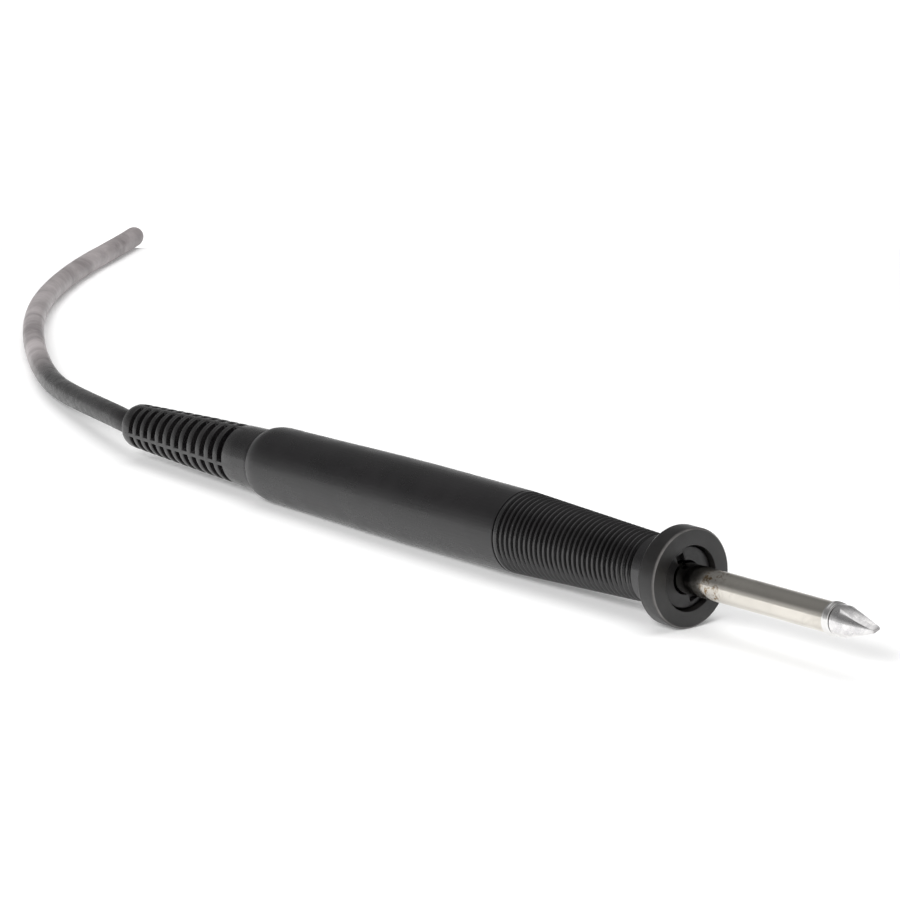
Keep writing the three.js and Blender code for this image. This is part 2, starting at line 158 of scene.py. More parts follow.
def lathe(bm, outline, sides, swell=None):
    """Turns a closed outline of (x, radius) about X. swell(x, r, angle) may change a radius."""
    rings = []
    for x, r in outline:
        if r < 1e-6:
            rings.append([bm.verts.new((x * MM, 0, 0))])
            continue
        ring = []
        for i in range(sides):
            a = 2 * math.pi * i / sides
            rr = swell(x, r, a) if swell else r
            ring.append(bm.verts.new((x * MM, rr * math.cos(a) * MM, rr * math.sin(a) * MM)))
        rings.append(ring)
    open_ends = len(rings[0]) == 1 and len(rings[-1]) == 1
    following = rings[1:] if open_ends else rings[1:] + rings[:1]
    for low, high in zip(rings, following):
        for i in range(sides):
            j = (i + 1) % sides
            if len(low) == 1:
                bm.faces.new((low[0], high[j], high[i]))
            elif len(high) == 1:
                bm.faces.new((low[i], low[j], high[0]))
            else:
                bm.faces.new((low[i], low[j], high[j], high[i]))


def box(bm, low, high, turn=None):
    """A closed box between two corners in millimetres, then turned."""
    x, y, z = ((a, b) for a, b in zip(low, high))
    corners = [bm.verts.new(Vector((a, b, c)) * MM) for a in x for b in y for c in z]
    for quad in ((0, 1, 3, 2), (4, 6, 7, 5), (0, 4, 5, 1), (2, 3, 7, 6), (0, 2, 6, 4), (1, 5, 7, 3)):
        bm.faces.new([corners[i] for i in quad])
    if turn:
        bmesh.ops.transform(bm, matrix=turn, verts=corners)


def mesh_of(bm, name):
    bmesh.ops.recalc_face_normals(bm, faces=bm.faces)
    mesh = bpy.data.meshes.new(name)
    bm.to_mesh(mesh)
    bm.free()
    return mesh


def applied(piece):
    """Keeps the result of a piece's modifiers as its own mesh."""
    graph = bpy.context.evaluated_depsgraph_get()
    mesh = bpy.data.meshes.new_from_object(piece.evaluated_get(graph))
    old = piece.data
    piece.modifiers.clear()
    piece.data = mesh
    bpy.data.meshes.remove(old)


def cut(piece, cutter_bm, at=PEN):
    """Cuts the shapes in a bmesh, given in the same frame as the piece was, out of it."""
    cutter = add("cutter", cutter_bm, at)
    boolean = piece.modifiers.new("cut", "BOOLEAN")
    boolean.object = cutter
    boolean.solver = "EXACT"
    applied(piece)
    mesh = cutter.data
    bpy.data.objects.remove(cutter)
    bpy.data.meshes.remove(mesh)


def bevel(piece, width, segments=3, angle=30):
    """Rounds the sharp edges of a piece."""
    modifier = piece.modifiers.new("bevel", "BEVEL")
    modifier.width = width * MM
    modifier.segments = segments
    modifier.limit_method = "ANGLE"
    modifier.angle_limit = math.radians(angle)
    applied(piece)


def shade(piece, angle=32):
    """Smooth shading that breaks at edges sharper than the angle."""
    bm = bmesh.new()
    bm.from_mesh(piece.data)
    limit = math.radians(angle)
    for face in bm.faces:
        face.smooth = True
    for edge in bm.edges:
        edge.smooth = len(edge.link_faces) == 2 and edge.calc_face_angle(0) < limit
    bm.to_mesh(piece.data)
    bm.free()


def add(name, bm, at=PEN):
    """A new object from a bmesh in the given frame. It sits at the origin, as the CAD nodes do."""
    bmesh.ops.transform(bm, matrix=at, verts=bm.verts)
    piece = bpy.data.objects.new(name, mesh_of(bm, name))
    bpy.context.scene.collection.objects.link(piece)
    bpy.context.view_layer.update()
    return piece


def finish_piece(piece, look, slot, body, *nodes, angle=32):
    """Shades a piece, gives it its material, and makes it ride and stand for nodes. The slot is not used.
    """
    shade(piece, angle)
    piece.data.materials.clear()
    piece.data.materials.append(look)
    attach(piece, body)
    if nodes:
        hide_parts(*nodes)
    return piece


def turned(name, outline, sides, look, slot, body, *nodes, at=PEN, swell=None):
    bm = bmesh.new()
    lathe(bm, outline, sides, swell)
    return finish_piece(add(name, bm, at), look, slot, body, *nodes)


# ------------------------------------------------------------------ materials
class Look:
    """A Principled material under construction, with short calls to add and join nodes.

    Its patterns follow the pen's own frame, or the plug's."""

    def __init__(self, name, metallic=0.0, specular=0.5, sheen=0.0, frame=PEN):
        self.material = bpy.data.materials.new(name)
        self.material.use_nodes = True
        self.tree = self.material.node_tree
        self.shader = self.tree.nodes["Principled BSDF"]
        self.shader.inputs["Metallic"].default_value = metallic
        self.shader.inputs["Specular IOR Level"].default_value = specular
        self.shader.inputs["Sheen Weight"].default_value = sheen
        local = self.node("ShaderNodeMapping", vector_type="TEXTURE")
        local.inputs["Location"].default_value = frame.to_translation()
        local.inputs["Rotation"].default_value = frame.to_euler()
        self.put(self.node("ShaderNodeTexCoord").outputs["Object"], local.inputs["Vector"])
        self.where = local.outputs["Vector"]

    def node(self, kind, **settings):
        made = self.tree.nodes.new(kind)
        for key, value in settings.items():
            setattr(made, key, value)
        return made

    def put(self, value, socket):
        """Joins an output to a socket, or sets a plain value on it."""
        if isinstance(value, bpy.types.NodeSocket):
            self.tree.links.new(value, socket)
        else:
            socket.default_value = value

    def uv(self):
        return self.node("ShaderNodeTexCoord").outputs["UV"]

    def stretched(self, scale, source=None):
        mapping = self.node("ShaderNodeMapping")
        self.put(source or self.where, mapping.inputs["Vector"])
        mapping.inputs["Scale"].default_value = scale
        return mapping.outputs["Vector"]

    def noise(self, scale, detail=3.0, rough=0.5, warp=0.0, vector=None):
        made = self.node("ShaderNodeTexNoise")
        self.put(vector or self.where, made.inputs["Vector"])
        made.inputs["Scale"].default_value = scale
        made.inputs["Detail"].default_value = detail
        made.inputs["Roughness"].default_value = rough
        made.inputs["Distortion"].default_value = warp
        return made.outputs["Fac"]

    def cells(self, scale):
        made = self.node("ShaderNodeTexVoronoi")
        self.put(self.where, made.inputs["Vector"])
        made.inputs["Scale"].default_value = scale
        return made.outputs["Distance"]

    def wave(self, scale, direction="X", warp=0.0):
        made = self.node("ShaderNodeTexWave", bands_direction=direction)
        self.put(self.where, made.inputs["Vector"])
        made.inputs["Scale"].default_value = scale
        made.inputs["Distortion"].default_value = warp
        made.inputs["Detail"].default_value = 2.0
        return made.outputs["Fac"]

    def along(self):
        """The distance along the frame's X axis."""
        made = self.node("ShaderNodeSeparateXYZ")
        self.put(self.where, made.inputs[0])
        return made.outputs["X"]

    def remap(self, value, low, high, to_low=0.0, to_high=1.0):
        made = self.node("ShaderNodeMapRange", interpolation_type="SMOOTHSTEP")
        self.put(value, made.inputs["Value"])
        for key, number in (("From Min", low), ("From Max", high), ("To Min", to_low), ("To Max", to_high)):
            made.inputs[key].default_value = number
        return made.outputs["Result"]

    def sum(self, a, b, operation="ADD"):
        """Adds two values, or joins them by another operation."""
        made = self.node("ShaderNodeMath", operation=operation)
        self.put(a, made.inputs[0])
        self.put(b, made.inputs[1])
        return made.outputs[0]

    def mix(self, factor, a, b):
        made = self.node("ShaderNodeMix", data_type="RGBA")
        self.put(factor, made.inputs["Factor"])
        self.put((*a, 1) if isinstance(a, tuple) else a, made.inputs["A"])
        self.put((*b, 1) if isinstance(b, tuple) else b, made.inputs["B"])
        return made.outputs["Result"]

    def attribute(self, name):
        return self.node("ShaderNodeAttribute", attribute_name=name).outputs["Fac"]

    def finish(self, colour, roughness, *bumps):
        """Sets colour and roughness, and stacks (height, distance in millimetres) bumps."""
        self.put(colour, self.shader.inputs["Base Color"])
        self.put(roughness, self.shader.inputs["Roughness"])
        normal = None
        for height, distance in bumps:
            made = self.node("ShaderNodeBump")
            made.inputs["Strength"].default_value = 1.0
            made.inputs["Distance"].default_value = distance * MM
            self.put(height, made.inputs["Height"])
            if normal:
                self.put(normal, made.inputs["Normal"])
            normal = made.outputs["Normal"]
        if normal:
            self.put(normal, self.shader.inputs["Normal"])
        return self.material


def moulded(name, dark, light, rough, grain=0.012, cloud=60.0, specular=0.5):
    """Moulded plastic or rubber: faint clouding, a fine grain, and small rubbed spots."""
    look = Look(name, specular=specular)
    clouds = look.remap(look.noise(cloud, 4, 0.6), 0.35, 0.68)
    colour = look.mix(clouds, dark, light)
    rubbed = look.remap(look.noise(cloud * 5, 5, 0.65, 0.4), 0.3, 0.75)
    roughness = look.remap(rubbed, 0, 1, *rough)
    grit = look.noise(5200, 2, 0.6)
    orange = look.noise(900, 2, 0.5)
    return look.finish(colour, roughness, (grit, grain), (orange, grain * 1.6))


def handle_look():
    look = Look("handle_moulding", specular=0.66)
    clouds = look.remap(look.noise(38, 4, 0.6), 0.32, 0.7)
    colour = look.mix(clouds, (0.0038, 0.0035, 0.004), (0.0075, 0.0068, 0.0075))
    speck = look.remap(look.cells(420), 0.0, 0.12, 1.0, 0.0)
    colour = look.mix(look.sum(speck, 0.25, "MULTIPLY"), colour, (0.03, 0.028, 0.03))
    rubbed = look.noise(150, 5, 0.6, 0.5)
    roughness = look.remap(rubbed, 0.3, 0.72, 0.25, 0.36)
    drag = look.noise(60, 3, 0.5, 0, look.stretched((1.5, 40, 40)))
    grit = look.noise(5200, 2, 0.6)
    return look.finish(colour, roughness, (grit, 0.008), (drag, 0.03))


def grip_look():
    """Ribbed rubber: a low shine on its crests, and painted shade making it nearly black down in its
    grooves.
    """
    look = Look("grip_ribs", specular=0.9)
    depth = look.attribute("groove_shade")
    clouds = look.remap(look.noise(70, 4, 0.6), 0.3, 0.7)
    crest = look.mix(clouds, (0.0045, 0.0042, 0.0046), (0.009, 0.0084, 0.009))
    # painted shade: the rubber is darkened to nearly black by the depth of each groove
    colour = look.mix(depth, crest, (0.0012, 0.001, 0.001))
    roughness = look.remap(look.noise(300, 4, 0.6), 0.3, 0.7, 0.15, 0.26)
    grit = look.noise(4200, 2, 0.6)
    return look.finish(colour, roughness, (grit, 0.01), (look.noise(700, 2), 0.015))


def guard_look():
    look = Look("guard_moulding", specular=0.58)
    clouds = look.remap(look.noise(120, 4, 0.6), 0.3, 0.7)
    colour = look.mix(clouds, (0.0045, 0.0042, 0.0042), (0.0105, 0.0098, 0.0094))
    reach = look.node("ShaderNodeVectorMath", operation="LENGTH")
    flat = look.stretched((0, 1, 1))
    look.put(flat, reach.inputs[0])
    edge = look.remap(reach.outputs["Value"], 10.0 * MM, 10.2 * MM)
    front = look.remap(look.along(), -0.5 * MM, -0.05 * MM)
    # painted highlight: a light band round the outer edge of the front face, broken up by noise
    painted_rim_highlight = look.sum(look.sum(edge, front, "MULTIPLY"), look.noise(260, 4, 0.6), "MULTIPLY")
    colour = look.mix(painted_rim_highlight, colour, (0.2, 0.19, 0.185))
    roughness = look.remap(look.noise(240, 5, 0.62, 0.6), 0.3, 0.7, 0.28, 0.42)
    grit = look.noise(4600, 2, 0.6)
    return look.finish(colour, roughness, (grit, 0.01), (look.noise(620, 3), 0.022))


def barrel_look():
    """Drawn steel: soft dents, fine lines round the tube, and painted shade and reflection of the dark
    guard darkening it close to the guard.
    """
    look = Look("barrel_steel", metallic=1.0)
    x = look.along()
    mottle = look.noise(160, 5, 0.6, 1.0)
    steel = look.mix(look.remap(look.noise(45, 4), 0.3, 0.7), (0.66, 0.63, 0.575), (0.75, 0.715, 0.655))
    stain = look.sum(look.remap(mottle, 0.55, 0.75), 0.3, "MULTIPLY")
    worn = look.mix(stain, steel, (0.44, 0.41, 0.37))
    # painted shade: darkens the steel towards the guard, standing for the guard's shade and dark reflection
    painted_guard_shade = look.remap(x, 14 * MM, -1 * MM, 0.0, 0.75)
    colour = look.mix(painted_guard_shade, worn, (0.16, 0.155, 0.15))
    bead = look.remap(x, 41.0 * MM, 41.4 * MM)
    colour = look.mix(bead, colour, (0.82, 0.81, 0.80))
    scorched = look.sum(look.remap(x, 3 * MM, 7 * MM), look.remap(x, 14 * MM, 9 * MM), "MULTIPLY")
    spots = look.remap(look.noise(900, 4, 0.7, 0.8), 0.5, 0.62)
    colour = look.mix(look.sum(scorched, spots, "MULTIPLY"), colour, (0.24, 0.16, 0.08))
    pit = look.remap(look.cells(600), 0.0, 0.1, 1.0, 0.0)
    roughness = look.sum(look.remap(mottle, 0.35, 0.7, 0.1, 0.22), look.sum(pit, 0.1, "MULTIPLY"))
    lines = look.noise(80, 3, 0.6, 0, look.stretched((70, 1, 1)))
    dents = look.noise(170, 3, 0.5, 0.6)
    return look.finish(colour, roughness, (lines, 0.003), (pit, -0.004), (dents, 0.05))


def tip_look():
    """Bright plating over the copper of the tip, a little uneven, greyer towards its end, and with painted
    shade along the bevels of its flats.
    """
    look = Look("tip_plate", metallic=1.0)
    cloud = look.noise(420, 5, 0.6, 0.8)
    colour = look.mix(look.remap(cloud, 0.35, 0.68), (0.90, 0.885, 0.88), (0.70, 0.69, 0.695))
    edge = look.remap(look.along(), 52.9 * MM, 53.65 * MM)
    pock = look.remap(look.cells(900), 0.0, 0.09, 1.0, 0.0)
    # painted shade: the bevels along the flats' edges are darkened
    sharp = look.attribute("edge")
    dark = look.sum(look.sum(edge, 0.55, "MULTIPLY"), look.sum(pock, 0.35, "MULTIPLY"))
    dark = look.sum(dark, look.sum(sharp, 0.75, "MULTIPLY"), "MAXIMUM")
    colour = look.mix(dark, colour, (0.16, 0.15, 0.15))
    roughness = look.remap(cloud, 0.3, 0.7, 0.12, 0.3)
    return look.finish(colour, roughness, (look.noise(650, 4, 0.55), 0.02), (pock, -0.01))


def metal(name, low, high, rough, lines=(60, 1, 1), depth=0.004, frame=PEN):
    look = Look(name, metallic=1.0, frame=frame)
    cloud = look.noise(160, 5, 0.6, 0.5)
    colour = look.mix(look.remap(cloud, 0.3, 0.7), low, high)
    roughness = look.remap(look.noise(420, 4, 0.6), 0.3, 0.7, rough[0], rough[1])
    brushed = look.noise(90, 3, 0.6, 0, look.stretched(lines))
    return look.finish(colour, roughness, (brushed, depth), (look.noise(2400, 2), 0.003))


def cord_look():
    """A rubber jacket: black and smooth by the strain relief, then grey, clouded and wrinkled; the grey is
    partly the jacket's own colour and partly a painted sheen.
    """
    look = Look("cord_jacket", specular=0.25)
    uv = look.uv()
    wear_and_sheen = look.attribute("wear_and_sheen")
    bloom = look.remap(look.noise(52, 5, 0.62, 0.8), 0.32, 0.7)
    young = look.mix(bloom, (0.006, 0.0055, 0.006), (0.012, 0.011, 0.0115))
    # painted sheen: the grey of the far stretch is partly the jacket's own colour and partly painted sheen
    old = look.mix(bloom, (0.21, 0.188, 0.19), (0.46, 0.42, 0.423))
    colour = look.mix(wear_and_sheen, young, old)
    rings = look.noise(1.0, 4, 0.62, 0.6, look.stretched((420, 5, 1), uv))
    folds = look.noise(1.0, 3, 0.6, 1.0, look.stretched((150, 2.5, 1), uv))
    length = look.noise(1.0, 2, 0.5, 0, look.stretched((14, 34, 1), uv))
    roughness = look.sum(look.remap(rings, 0.3, 0.7, 0.22, 0.36), look.sum(wear_and_sheen, 0.08, "MULTIPLY"))
    height = look.sum(rings, look.remap(wear_and_sheen, 0, 1, 0.03, 1.0), "MULTIPLY")
    crease = look.sum(folds, look.remap(wear_and_sheen, 0, 1, 0.03, 1.0), "MULTIPLY")
    return look.finish(
        colour, roughness, (height, 0.07), (crease, 0.16), (length, 0.01), (look.noise(3800, 2), 0.004)
    )


def wire_look(name, colour):
    look = Look(name, specular=0.55)
    deep = tuple(0.7 * c for c in colour)
    streak = look.noise(90, 4, 0.6, 0, look.stretched((0.2, 1, 1)))
    shine = look.remap(look.noise(500, 3), 0.3, 0.7, 0.28, 0.42)
    tone = look.mix(look.remap(streak, 0.3, 0.7), deep, colour)
    return look.finish(tone, shine, (look.noise(1500, 2), 0.01))


def ceramic_look():
    look = Look("fired_ceramic", specular=0.35)
    speck = look.remap(look.cells(1400), 0.02, 0.2, 1.0, 0.0)
    colour = look.mix(look.noise(220, 5, 0.6), (0.72, 0.69, 0.62), (0.86, 0.83, 0.77))
    colour = look.mix(look.sum(speck, 0.3, "MULTIPLY"), colour, (0.45, 0.4, 0.34))
    roughness = look.remap(look.noise(800), 0.3, 0.7, 0.5, 0.68)
    return look.finish(colour, roughness, (look.noise(2600, 3), 0.02))


def woven_look():
    look = Look("woven_glass", specular=0.3, sheen=0.2)
    warp = look.wave(900, direction="X", warp=0.6)
    weft = look.wave(900, direction="Z", warp=0.6)
    weave = look.sum(warp, weft, "MULTIPLY")
    colour = look.mix(weave, (0.52, 0.48, 0.4), (0.82, 0.79, 0.7))
    return look.finish(colour, look.remap(weave, 0, 1, 0.9, 0.7), (weave, 0.12))


def board_look():
    look = Look("board_laminate", specular=0.5)
    weave = look.sum(look.wave(700, direction="X"), look.wave(700, direction="Y"))
    colour = look.mix(look.remap(weave, 0.4, 1.6), (0.03, 0.12, 0.055), (0.055, 0.19, 0.085))
    return look.finish(colour, look.remap(look.noise(300), 0.3, 0.7, 0.3, 0.45), (weave, 0.01))


def make_looks():
    looks = {
        "handle_plastic": handle_look(),
        "grip_rubber": grip_look(),
        "guard_plastic": guard_look(),
        "polished_steel": barrel_look(),
        "tip_plate": tip_look(),
        "cord_rubber": cord_look(),
        "ceramic": ceramic_look(),
        "glass_sleeving": woven_look(),
        "board": board_look(),
    }
    looks["nut_plastic"] = moulded(
        "nut_moulding", (0.006, 0.0056, 0.006), (0.012, 0.0115, 0.012), (0.3, 0.42), 0.008, 150
    )
    looks["relief_rubber"] = moulded(
        "relief_rubber", (0.006, 0.0055, 0.006), (0.012, 0.011, 0.0115), (0.2, 0.32), 0.008, 110, 0.75
    )
    plastics = {
        "clamp_plastic": ("clamp_moulding", (0.03, 0.03, 0.031), (0.05, 0.05, 0.052), (0.4, 0.55)),
        "insert_plastic": ("insert_moulding", (0.014,) * 3, (0.024,) * 3, (0.35, 0.5)),
        "tie_nylon": ("tie_nylon", (0.012, 0.012, 0.013), (0.02, 0.02, 0.021), (0.38, 0.5)),
    }
    for slot, settings in plastics.items():
        looks[slot] = moulded(*settings)
    metals = {
        "spring_steel": ((0.55, 0.55, 0.55), (0.68, 0.68, 0.69), (0.2, 0.32)),
        "screw_steel": ((0.5, 0.5, 0.49), (0.64, 0.64, 0.63), (0.25, 0.4), (1, 1, 40)),
        "sensor_metal": ((0.4, 0.37, 0.33), (0.52, 0.49, 0.45), (0.3, 0.45)),
        "contact_brass": ((0.72, 0.52, 0.22), (0.86, 0.66, 0.32), (0.18, 0.32)),
    }
    for slot, settings in metals.items():
        looks[slot] = metal(slot, *settings)
    nickel = (0.52, 0.52, 0.52), (0.62, 0.615, 0.605)
    looks["connector_metal"] = metal("satin_nickel", *nickel, (0.24, 0.36), (50, 1, 1), frame=PLUG)
    wires = {
        "wire_red": (0.45, 0.03, 0.02),
        "wire_blue": (0.03, 0.07, 0.35),
        "wire_white": (0.7, 0.69, 0.64),
        "wire_black": (0.02, 0.02, 0.02),
        "wire_green": (0.06, 0.26, 0.05),
    }
    for name, colour in wires.items():
        looks[name] = wire_look(name, colour)
    return looks


# ------------------------------------------------------------------ the lead
CORD_ROUTE = [
    (-0.11025, 0, 0.00781),
    (-0.1158, 0, 0.00774),
    (-0.1214, 0, 0.00767),
    (-0.1265, 0.0006, 0.00754),
    (-0.13545, 0.0031, 0.0071),
    (-0.14545, 0.0062, 0.0064),
    (-0.15645, 0.0099, 0.0055),
    (-0.16845, 0.0142, 0.0045),
    (-0.18045, 0.0191, 0.0036),
    (-0.19345, 0.0254, 0.003),
    (-0.20845, 0.0336, 0.00275),
    (-0.22345, 0.0427, 0.00275),
    (-0.23845, 0.0528, 0.00275),
    (-0.25245, 0.0633, 0.00275),
    (-0.26545, 0.0746, 0.00275),
    (-0.27745, 0.0868, 0.00275),
    (-0.28845, 0.0996, 0.00275),
    (-0.29845, 0.1128, 0.00275),
    (-0.30745, 0.126, 0.00275),
    (-0.31645, 0.1392, 0.0028),
    (-0.32545, 0.1523, 0.0031),
    (-0.33405, 0.165, 0.0036),
    (-0.34255, 0.1781, 0.00405),
]
COIL_CENTRE = Vector((-0.37365, 0.1563, 0))
LANES = {"outer": 0.038, "middle": 0.0325, "inner": 0.027}
LOW_LAYER = 0.00405
HIGH_LAYER = 0.00955
COIL_START = math.radians(35)
COIL_TURNS = 4.375
# where the turns change lane or layer, as (first turn, last turn, radius, height) afterwards
LANE_CHANGES = [
    (0.84, 1.0, LANES["middle"], LOW_LAYER),
    (1.84, 2.0, LANES["inner"], LOW_LAYER),
    (2.66, 2.84, LANES["inner"], HIGH_LAYER),
    (3.48, 3.66, LANES["middle"], HIGH_LAYER),
]
STEPS_PER_POINT = 12
STEPS_PER_TURN = 72
TAIL_STEPS = 26
TAIL_LENGTH = 0.052
TAIL_HEIGHT = 0.0099
TAIL_RISE = 1.6  # the tail reaches its height before its end, by this factor
CORD_SIDES = 32
# the grey is partly the jacket's own colour and partly painted sheen
BLACK_LENGTH = 0.075  # the lead starts to turn grey after this length
GREY_AND_SHEEN_LENGTH = 0.035


def eased(t):
    t = min(max(t, 0.0), 1.0)
    return t * t * (3 - 2 * t)


def coil_point(turn):
    radius, height = LANES["outer"], LOW_LAYER
    for first, last, new_radius, new_height in LANE_CHANGES:
        share = eased((turn - first) / (last - first))
        radius += (new_radius - radius) * share
        height += (new_height - height) * share
    angle = COIL_START + 2 * math.pi * turn
    return COIL_CENTRE + Vector((radius * math.cos(angle), radius * math.sin(angle), height))


def cord_path():
    """The centre line of the whole lead, from inside its strain relief to its plug."""
    path = spline(CORD_ROUTE, STEPS_PER_POINT)
    steps = round(COIL_TURNS * STEPS_PER_TURN)
    path += [coil_point(COIL_TURNS * i / steps) for i in range(1, steps + 1)]
    start = path[-1]
    for i in range(1, TAIL_STEPS + 1):
        share = i / TAIL_STEPS
        point = start + PLUG_AXIS * TAIL_LENGTH * share
        point.z = start.z + (TAIL_HEIGHT - start.z) * eased(share * TAIL_RISE)
        path.append(point)
    return path


def cord_tube(look):
    """One closed tube round the path, with its length and angle as UVs and its greying marked, the grey
    being partly the jacket's own colour and partly painted sheen.
    """
    path = cord_path()
    count = len(path)
    lengths = [0.0]
    for a, b in zip(path, path[1:]):
        lengths.append(lengths[-1] + (b - a).length)
    sides = CORD_SIDES
    bm = bmesh.new()
    uv_layer = bm.loops.layers.uv.new("UVMap")
    wear_and_sheen_layer = bm.verts.layers.float.new("wear_and_sheen")
    rings = []
    for i, point in enumerate(path):
        tangent = (path[min(i + 1, count - 1)] - path[max(i - 1, 0)]).normalized()
        side = Vector((0, 0, 1)).cross(tangent).normalized()
        up = tangent.cross(side)
        wear_and_sheen = eased((lengths[i] - BLACK_LENGTH) / GREY_AND_SHEEN_LENGTH)
        ring = []
        for k in range(sides):
            a = 2 * math.pi * k / sides
            out = side * math.cos(a) + up * math.sin(a)
            lump = noise.noise((lengths[i] * 160, 1.4 * math.cos(a), 1.4 * math.sin(a)))
            radius = CORD_RADIUS * MM * (0.985 + 0.012 * wear_and_sheen * lump)
            vert = bm.verts.new(point + out * radius)
            vert[wear_and_sheen_layer] = wear_and_sheen
            ring.append(vert)
        rings.append(ring)
    for i in range(count - 1):
        for k in range(sides):
            j = (k + 1) % sides
            face = bm.faces.new((rings[i][k], rings[i][j], rings[i + 1][j], rings[i + 1][k]))
            ends = ((i, k), (i, k + 1), (i + 1, k + 1), (i + 1, k))
            for loop, (row, column) in zip(face.loops, ends):
                loop[uv_layer].uv = (lengths[row], column / sides)
    for ring, sign in ((rings[0], 1), (rings[-1], -1)):
        bm.faces.new(ring[::sign])
    piece = add("lead", bm, WORLD)
    finish_piece(piece, look, "cord_rubber", "handle", "cord", "cord_coil", "cord_tail", angle=60)
    return piece, path


TIE_WIDTH = 3.2
TIE_ANGLES = (80, 260)
TIE_THICKNESS = 1.0
TIE_CLEARANCE = 0.3  # between the strap and the turns
COIL_BASE = 1.3
COIL_STEP = 6.8  # top of the lower layer
COIL_TOP = 12.3
COIL_INSIDE = 24.25
COIL_STEP_RADIUS = 35.25
COIL_OUTSIDE = 40.75


def cord_tie(number, angle, look):
    """A nylon strap round the section of the coil, with its toothed tail through a square head."""
    low = COIL_BASE - TIE_CLEARANCE
    inner = COIL_INSIDE - TIE_CLEARANCE
    outer = COIL_OUTSIDE + TIE_CLEARANCE
    step = COIL_STEP_RADIUS + TIE_CLEARANCE
    middle, top = COIL_STEP + TIE_CLEARANCE, COIL_TOP + TIE_CLEARANCE
    inside = [(inner, low), (outer, low), (outer, middle), (step, top), (inner, top)]
    out, down, over = outer + TIE_THICKNESS, low - TIE_THICKNESS, top + TIE_THICKNESS
    back = inner - TIE_THICKNESS
    grown = [(back, down), (out, down), (out, middle + 0.6), (step + 0.7, over), (back, over)]
    around = []
    for corners, radius in ((inside, 1.2), (grown, 2.0)):
        around.append(rounded([(r, z, radius) for r, z in corners], 6))
    bm = bmesh.new()
    half = TIE_WIDTH / 2
    loops = [
        [bm.verts.new(Vector((r, y, z)) * MM) for r, z in ring]
        for ring, y in ((around[0], -half), (around[1], -half), (around[1], half), (around[0], half))
    ]
    count = len(loops[0])
    for a, b in zip(loops, loops[1:] + loops[:1]):
        for i in range(count):
            j = (i + 1) % count
            bm.faces.new((a[i], a[j], b[j], b[i]))
    turn = Matrix.Translation(COIL_CENTRE) @ Matrix.Rotation(math.radians(angle), 4, "Z")
    strap = add(f"cord_tie_strap_{number}", bm, turn)
    bevel(strap, 0.25, 2)
    finish_piece(strap, look, "tie_nylon", "handle", f"cord_tie_{number}")

    head_bm = bmesh.new()
    box(head_bm, (27, -2.6, top + 0.7), (32.4, 2.6, top + 3.6))
    head = add(f"cord_tie_head_{number}", head_bm, turn)
    slot_bm = bmesh.new()
    box(slot_bm, (26, -1.7, top + 1.3), (33.4, 1.7, top + 2.5))
    cut(head, slot_bm, turn)
    bevel(head, 0.3, 3)
    finish_piece(head, look, "tie_nylon", "handle")

    tail_bm = bmesh.new()
    box(tail_bm, (25.6, -1.55, top + 1.4), (39.0, 1.55, top + 2.35))
    tail = add(f"cord_tie_tail_{number}", tail_bm, turn)
    teeth_bm = bmesh.new()
    for i in range(14):
        x = 26 + i * 0.9
        box(teeth_bm, (x, -1.0, top + 2.2), (x + 0.4, 1.0, top + 3))
    cut(tail, teeth_bm, turn)
    bevel(tail, 0.12, 2)
    finish_piece(tail, look, "tie_nylon", "handle")
    return [strap, head, tail]


# ------------------------------------------------------------------ working end
def barrel(look):
    inner = 2.85
    outline = [
        (-6.1, inner, 0),
        (-6.1, 5.25, 0.2),
        (-5.5, 5.25, 0.2),
        (-5.5, 3.2, 0.3),
        (41.25, 3.2, 0.1),
        (41.5, 3.46, 0.15),
        (42.05, 3.54, 0.2),
        (42.25, 3.3, 0.08),
        (42.45, 3.5, 0.15),
        (42.95, 3.46, 0.15),
        (BARREL_FRONT, 3.1, 0.08),
        (BARREL_FRONT, inner, 0.05),
    ]
    return turned("barrel", rounded(outline), 96, look, "polished_steel", "barrel", "barrel_tube")


CONE_START = 45.4
TIP_RADIUS = 3.25
CONE_FALL = 2.41 / 8.18  # radius lost for each millimetre along the cone
BLADE_HALF = 0.24  # half the thickness of the chisel's edge
BLADE_SLOPE = math.atan2(3.4, 10)
BLADE_ROLL = math.radians(20)


